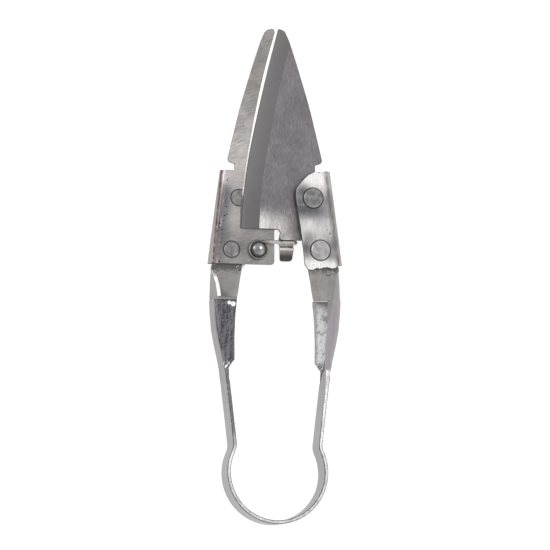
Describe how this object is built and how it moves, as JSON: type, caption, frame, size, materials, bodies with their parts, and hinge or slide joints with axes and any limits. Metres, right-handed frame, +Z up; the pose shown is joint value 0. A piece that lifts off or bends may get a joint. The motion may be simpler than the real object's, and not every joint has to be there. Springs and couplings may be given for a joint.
{
  "type": "thread snips",
  "caption": "Spring-bow thread snips: two blades folded and riveted onto an omega-shaped strip handle, with a swinging wire catch that holds them closed.",
  "frame": {"origin": "middle of the footprint, on the surface the snips lie on; the blades' shear plane is half the strip depth above it", "axes": "+Y towards the blade tips, +Z up out of the surface, +X towards the front blade's handle"},
  "size_m": [0.0342, 0.1264, 0.0075],
  "materials": {
    "blade_steel": "ground",
    "strip_steel": "tumbled satin",
    "rivet_steel": "peened",
    "stud_steel": "polished",
    "wire_steel": "drawn"
  },
  "bodies": {
    "bow": {"bow_spring": "strip_steel"},
    "left": {"left_arm": "strip_steel", "left_blade": "blade_steel", "left_upper_rivet": "rivet_steel", "left_lower_rivet": "rivet_steel", "catch_stud": "stud_steel"},
    "right": {"right_arm": "strip_steel", "right_blade": "blade_steel", "right_upper_rivet": "rivet_steel", "right_lower_rivet": "rivet_steel"},
    "catch": {"catch_wire": "wire_steel"}
  },
  "joints": [
    {"name": "left_open", "type": "hinge", "parent": "bow", "child": "left", "pos_m": [-0.0092, -0.054, 0.00375], "axis": [0, 0, 1], "range_deg": [-0.5, 6], "stiffness_Nm_per_rad": 2.5},
    {"name": "right_open", "type": "hinge", "parent": "bow", "child": "right", "pos_m": [0.0092, -0.054, 0.00375], "axis": [0, 0, -1], "range_deg": [-0.5, 6], "stiffness_Nm_per_rad": 2.5, "deforming": ["bow_spring", "catch_wire"]},
    {"name": "catch_swing", "type": "hinge", "parent": "left", "child": "catch", "pos_m": [-0.0045, 0.00635, 0.00375], "axis": [0, 0, 1], "range_deg": [-95, 0]}
  ],
  "couplings": [
    {"joint": "left_open", "follows": "right_open", "ratio": 1}
  ]
}
